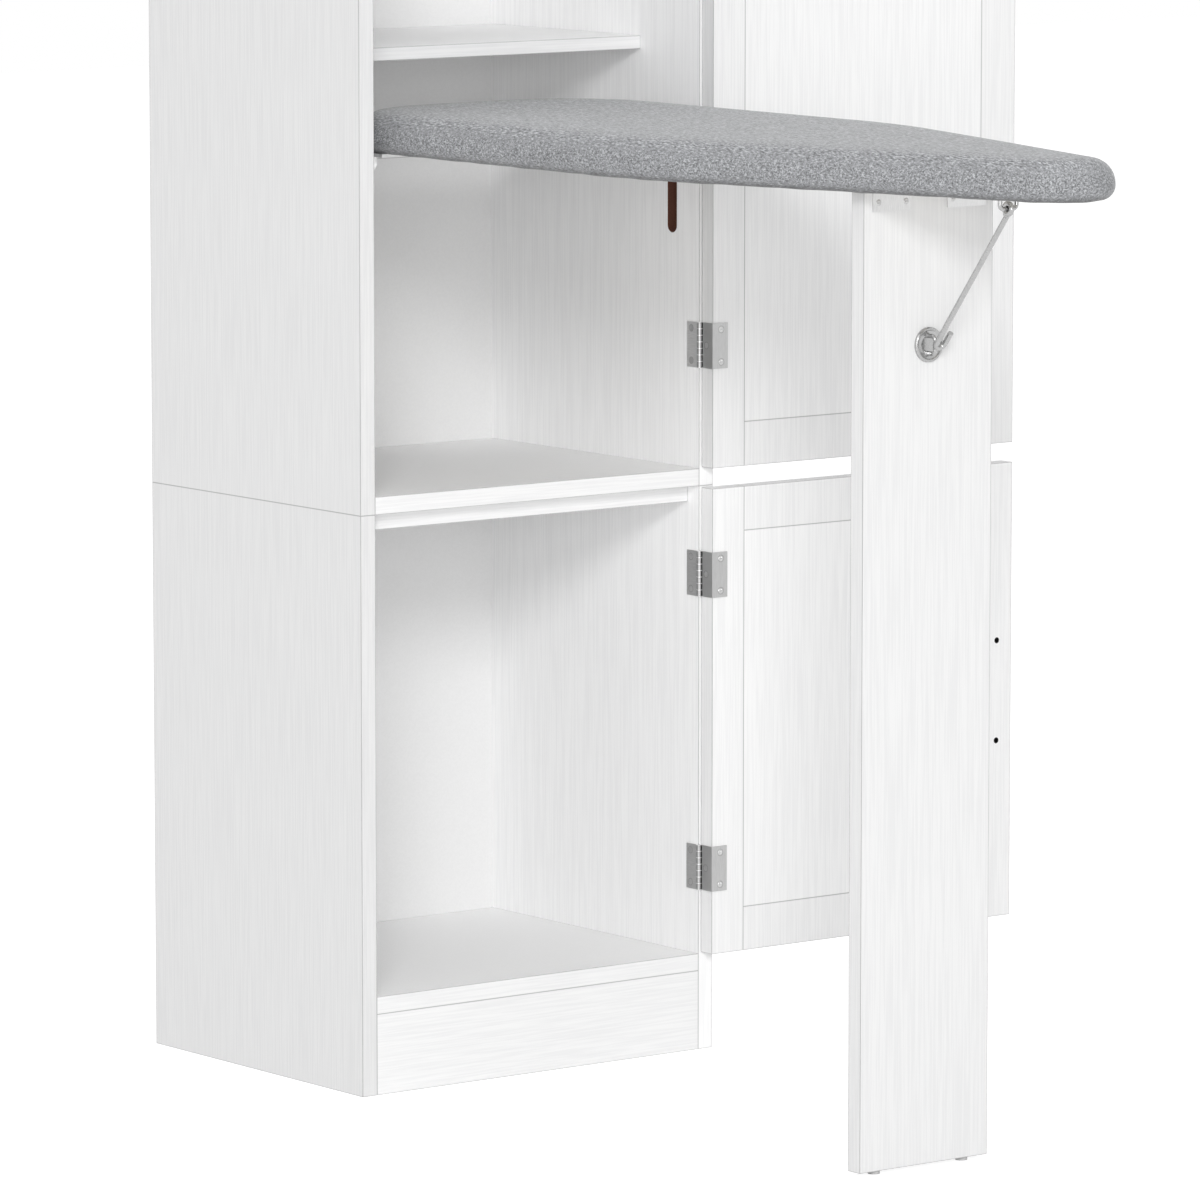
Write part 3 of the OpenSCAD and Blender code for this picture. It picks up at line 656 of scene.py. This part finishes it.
def board_outline():
    """Plan outline of the board, evenly spaced: tail arcs, straight sides, a bend into the taper and the nose
    arc. The taper's line touches both of its arcs. Returns points and outward normals, tail first, and the
    spacing."""
    low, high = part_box("board_pad")
    half, tail, nose = high[0], high[1], low[1]
    nose_c = np.array([0, nose + NOSE_R])
    bend_c = np.array([half - TAPER_R, TAPER_Y])
    gap = bend_c - nose_c
    taper = math.degrees(math.acos((NOSE_R - TAPER_R) / np.hypot(*gap)) - math.atan2(gap[1], gap[0]))
    arcs = [arc((half - TAIL_R, tail - TAIL_R), TAIL_R, 90, 0, ARC_POINTS),
            arc(bend_c, TAPER_R, 0, -taper, BEND_POINTS),
            arc(nose_c, NOSE_R, -taper, -90, ARC_POINTS)]
    points = np.concatenate([[[0, tail]]] + [part[0] for part in arcs])
    normals = np.concatenate([[[0, 1]]] + [part[1] for part in arcs])
    length = np.concatenate([[0], np.cumsum(np.linalg.norm(np.diff(points, axis=0), axis=1))])
    even = np.linspace(0, length[-1], OUTLINE_POINTS)
    points = np.stack([np.interp(even, length, points[:, axis]) for axis in (0, 1)], axis=-1)
    normals = np.stack([np.interp(even, length, normals[:, axis]) for axis in (0, 1)], axis=-1)
    mirror = np.array([-1, 1])
    points = np.concatenate([points, (points[1:-1] * mirror)[::-1]])
    normals = np.concatenate([normals, (normals[1:-1] * mirror)[::-1]])
    return points, normals / np.linalg.norm(normals, axis=1, keepdims=True), even[1]


def pad_rows(base, top):
    """Profile of the padded cover as rows of inset, height and share of the gathers: down the pocket over the
    deck, under the turned-in hem, round two quarter arcs of the rim, and over the crown. The upper arc ends
    where its slope meets the crown's, height = top - crown * (1 - share)^2."""
    rows = [(DECK_INSET, base + DECK_T, 0), (DECK_INSET, base + POCKET_GAP, 0), (HEM, base, 0)]
    rows += [(inset, base - drop * HEM_DROP, gathered) for inset, drop, gathered in HEM_ROWS]
    for turn in np.radians(np.linspace(0, 90, RIM_LOW_ROWS)):
        left = 1 - math.sin(turn)
        rows.append((RIM_LOW * left, base + RIM_LOW * (1 - math.cos(turn)) - HEM_DROP * left,
                     RIM_GATHER * math.cos(turn)))
    top_end = math.pi / 2 - math.atan(2 * CROWN / CROWN_RUN)
    for turn in np.linspace(0, top_end, RIM_TOP_ROWS):
        rows.append((RIM_TOP * (1 - math.cos(turn)),
                     top - CROWN - RIM_TOP * (math.sin(top_end) - math.sin(turn)), 0))
    crown_in = RIM_TOP * (1 - math.cos(top_end))
    rows += [(crown_in + share * CROWN_RUN, top - CROWN * (1 - share) ** 2, 0) for share in CROWN_STEPS]
    return rows


def board_pad(cloth):
    """Padded cover: each row of the profile is the outline moved in by the inset at the height, and the last
    rows run in to the spine. The hem has gathers, a sum of sines along the edge that pull it in and lift it.
    The top sinks and swells by a slow product of sines. Where the folded leg crosses the tail, the hem is
    pressed to a share of its drop."""
    low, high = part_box("board_pad")
    base, top = low[2], high[2]
    points, normals, step = board_outline()
    along = np.arange(len(points)) * step
    gather = sum(weight * np.sin(along / length + shift) for length, shift, weight in GATHER_WAVES)
    grid = []
    for inset, height, gathered in pad_rows(base, top):
        pull = gathered * gather
        flat = points - normals * (inset + pull * GATHER_IN)[:, None]
        grid.append(np.column_stack([flat, height + pull * GATHER_RISE]))
    rim = grid[-1]
    spine_y = np.clip(rim[:, 1], low[1] + NOSE_R * SPINE_NOSE, high[1] - TAIL_R)
    spine = np.column_stack([np.zeros(len(rim)), spine_y, rim[:, 2]])
    grid += [rim + (spine - rim) * share for share in SPINE_STEPS]
    surface = np.array(grid)
    x, y, z = surface[..., 0], surface[..., 1], surface[..., 2]
    swell = np.sin(y / SWELL_ALONG) * np.sin(x / SWELL_ACROSS + SWELL_SHIFT)
    z += SWELL * swell * np.clip((z - (top - SWELL_DEPTH)) / SWELL_DEPTH, 0, 1)
    beside = np.clip((np.abs(x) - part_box("leg_panel")[1][0]) / PRESS_RUN, 0, 1)
    pressed = np.where(y > 0, PRESSED + (1 - PRESSED) * beside, 1)
    z += np.minimum(z - base, 0) * (pressed - 1)
    faces = ring_faces(len(surface), surface.shape[1], last_cap=False)
    pad = mesh_of("pad_cover", surface, faces, cloth, "board")
    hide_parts("board_pad")


# Screws

HEAD_RINGS = 9
HEAD_SIDES = 24
HEAD_CENTRE = 0.001
HEAD_RISE = 0.9 * MM
SKIRT = 0.25 * MM
ARM_HALF = 0.16
ARM_REACH = 0.62
FLUSH = 0.07


def screw_heads(name, places, material, body):
    """Countersunk heads in one piece. Each is a shallow dome, height = rise * (1 - r^2), with a cross pressed
    into its middle: the height drops by the full rise where |x| or |y| is under the arm's half width. Each
    place gives the head's middle, the way it faces and its share of the full rise."""
    reach = np.linspace(HEAD_CENTRE, 1, HEAD_RINGS)
    turn = np.linspace(0, 2 * math.pi, HEAD_SIDES, endpoint=False)
    away, angle = np.meshgrid(reach, turn, indexing="ij")
    x, y = away * np.cos(angle), away * np.sin(angle)
    cross = (np.minimum(np.abs(x), np.abs(y)) < ARM_HALF) & (away < ARM_REACH)
    height = 1 - away ** 2 - cross
    head = np.stack([x * HEAD_R, y * HEAD_R, height * HEAD_RISE], axis=-1)[::-1]
    head = np.concatenate([[head[0] - [0, 0, SKIRT]], head])
    faces = ring_faces(*head.shape[:2], last_cap=True)
    points, all_faces = [], []
    for place, normal, share in places:
        turned = Vector(normal).to_track_quat("Z", "Y").to_matrix()
        offset = len(points) * head.shape[0] * head.shape[1]
        points.append((head * [1, 1, share]).reshape(-1, 3) @ np.array(turned).T + np.array(place))
        all_faces += [[index + offset for index in face] for face in faces]
    piece = mesh_of(name, np.concatenate(points), all_faces, material, body)


def door_hinge_screws(steel):
    """Screws of the door hinges: two in each fixed leaf, and one in the edge and two in the face of each
    wrap-round leaf. Those that face the other leaf when the door is shut are flush."""
    edge_x = SIDE_IN_X + HINGE_GAP
    for unit in ("upper", "lower"):
        fixed, wrap = [], []
        for height in hinge_heights(unit):
            for rise in (-SCREW_RISE, SCREW_RISE):
                fixed.append(((SIDE_IN_X - LEAF_T, FIXED_SCREW, height + rise), (-1, 0, 0), FLUSH))
                wrap.append(((edge_x + WRAP_SCREW, DOOR_IN_Y - LEAF_T, height + rise), (0, -1, 0), 1))
            wrap.append(((edge_x - LEAF_T, DOOR_MIDDLE_Y, height), (-1, 0, 0), FLUSH))
        screw_heads(unit + "_fixed_screws", fixed, steel, "cabinet")
        screw_heads(unit + "_wrap_screws", wrap, steel, unit + "_door")


def leg_hinge_screws(steel):
    """Screws of the two leg hinges."""
    low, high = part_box("leg_wrap_leaves")
    leg_low, leg_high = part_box("leg_panel")
    deck_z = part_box("board_deck")[0][2]
    board, leg = [], []
    for middle in (low[0] + HINGE_HALF, high[0] - HINGE_HALF):
        for x in (middle - SCREW_RISE, middle + SCREW_RISE):
            board.append(((x, leg_high[1] - FIXED_SCREW, deck_z - LEAF_T), (0, 0, -1), FLUSH))
            leg.append(((x, leg_low[1] - LEAF_T, leg_high[2] - WRAP_SCREW), (0, -1, 0), 1))
    screw_heads("leg_board_screws", board, steel, "board")
    screw_heads("leg_face_screws", leg, steel, "leg")


# Dressing the frame


def dress(material, *nodes):
    """Gives CAD nodes one material."""
    for node in nodes:
        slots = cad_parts[node].data.materials
        slots.clear()
        slots.append(material)


def dress_panels():
    """White panels, each with its own grain direction and edges, and whites that differ as painted light and
    shade. The upper door hangs nearer to the lamps, so its white is a share of the lower one's: painted
    shade."""
    for unit in ("upper", "lower"):
        groove = groove_core if unit == "upper" else None
        # Painted shade: the upper door's whites are a share of the lower door's.
        share = UPPER_DOOR_SHADE if unit == "upper" else 1
        bores = handle_bores(unit + "_handle")
        looks = {"left_side": {"white": SIDE_SHADED_WHITE, "detail": groove},
                 "right_side": {"white": INSIDE_LIT_WHITE, "detail": groove},
                 "back_panel": {"plain_axis": 1, "plain_white": BACK_SHADED_WHITE},
                 "bottom_panel": {"grain": 0, "plain_axis": 2, "plain_white": INSIDE_LIT_WHITE},
                 "top_panel": {"grain": 0, "plain_axis": 2, "plain_white": INSIDE_LIT_WHITE},
                 "field_panel": {"white": FIELD_LIT_WHITE * share},
                 "hinge_stile": {"white": DOOR_WHITE * share},
                 "lock_stile": {"white": DOOR_WHITE * share, "detail": bores},
                 "top_rail": {"white": DOOR_WHITE * share},
                 "bottom_rail": {"white": DOOR_WHITE * share}}
        for part, look in looks.items():
            dress(laminate(f"{unit}_{part}", **look), f"{unit}_{part}")
    for node in ("tail_rail", "shelf_1", "shelf_2", "shelf_3"):
        dress(laminate(node, grain=0, plain_axis=2, plain_white=INSIDE_LIT_WHITE), node)
    dress(laminate("leg_panel", white=LEG_SHADED_WHITE), "leg_panel")
    dress(laminate("plinth_board", grain=0), "plinth_board")
    dress(laminate("wall_rail", grain=0, plain_axis=1), "wall_rail")


def dress_metal():
    """Steel, wire and plastic parts."""
    for unit in ("upper", "lower"):
        heights = hinge_heights(unit)
        dress(satin_steel(unit + "_leaf_steel", detail=fixed_leaf_marks(heights)), unit + "_fixed_leaves")
        dress(satin_steel(unit + "_wrap_steel", 0, wrap_leaf_marks(heights)), unit + "_wrap_leaves")
    dress(satin_steel("pin_steel"), "upper_hinge_pins", "lower_hinge_pins", "leg_hinge_pins", "shelf_pins")
    dress(satin_steel("leg_leaf_steel", 0), "leg_fixed_leaves", "leg_wrap_leaves")
    dress(satin_steel("handle_steel", 0, screw_ends), "upper_handle", "lower_handle")
    dress(satin_steel("bracket_zinc", 1), "left_bracket", "right_bracket", "pivot_pins")
    dress(bright_wire(), "stay_hook", "stay_staple", "hook_plate")
    dress(nylon("grey_nylon"), "left_slider", "right_slider")
    dress(nylon("glide_nylon"), "leg_glides")


# Floor, sky and lamps. A lamp has its place, its aim, its width and height in metres, and its power in watts

FLOOR_HALF = 12
FLOOR_BOUNCE = 0.9
FLOOR_DIFFUSE = 0.3
FLOOR_GLOW = 0.87
SKY = 0.65
LAMPS = {"key_lamp": ((-7.1, -9.8, 5.5), (0.1, 0, 0.6), 3.6, 2.6, 600),
         "left_lamp": ((-5.6, -7.9, 1.4), (0.1, 0, 0.6), 4.0, 2.4, 200),
         "top_lamp": ((-0.2, -0.2, 7.0), (0, -0.2, 0.8), 2.4, 2.4, 90)}


def make_floor():
    """Pale floor: seen directly it glows to white and still takes the object's shadow."""
    corners = [(-FLOOR_HALF, -FLOOR_HALF, 0), (FLOOR_HALF, -FLOOR_HALF, 0),
               (FLOOR_HALF, FLOOR_HALF, 0), (-FLOOR_HALF, FLOOR_HALF, 0)]
    mesh = bpy.data.meshes.new("floor")
    mesh.from_pydata(corners, [], [(0, 1, 2, 3)])
    floor = bpy.data.objects.new("floor", mesh)
    bpy.context.scene.collection.objects.link(floor)
    finish = Finish("floor_white", roughness=1, specular_ior_level=0, emission_strength=1)
    seen = finish.seen()
    colour = finish.blend(seen, rgb(FLOOR_BOUNCE), rgb(FLOOR_DIFFUSE))
    glow = finish.blend(seen, rgb(0), rgb(FLOOR_GLOW))
    mesh.materials.append(finish.finish(base_color=colour, emission_color=glow))


def make_world():
    """White sky where it is seen, and a slightly lower even light elsewhere."""
    world = bpy.data.worlds.new("white_room")
    bpy.context.scene.world = world
    world.use_nodes = True
    nodes = Nodes(world.node_tree)
    strength = nodes.add("ShaderNodeMapRange", {"Value": nodes.seen(), "To Min": SKY, "To Max": 1})
    nodes.put(world.node_tree.nodes["Background"], {"Color": rgb(1), "Strength": strength})


def make_lamp(name, place, aim, width, height, power):
    """Rectangular soft lamp that faces a point."""
    data = bpy.data.lights.new(name, "AREA")
    data.shape = "RECTANGLE"
    data.size = width
    data.size_y = height
    data.energy = power
    lamp = bpy.data.objects.new(name, data)
    lamp.location = place
    lamp.rotation_euler = (Vector(aim) - Vector(place)).to_track_quat("-Z", "Y").to_euler()
    bpy.context.scene.collection.objects.link(lamp)


make_camera()
make_floor()
make_world()
for lamp_name, lamp_sizes in LAMPS.items():
    make_lamp(lamp_name, *lamp_sizes)
bpy.context.scene.view_settings.view_transform = "Standard"

dress_panels()
dress_metal()
dress(deck_board(), "board_deck")
board_pad(cover_cloth())
screw_steel = satin_steel("screw_steel", across=0)
door_hinge_screws(screw_steel)
leg_hinge_screws(screw_steel)
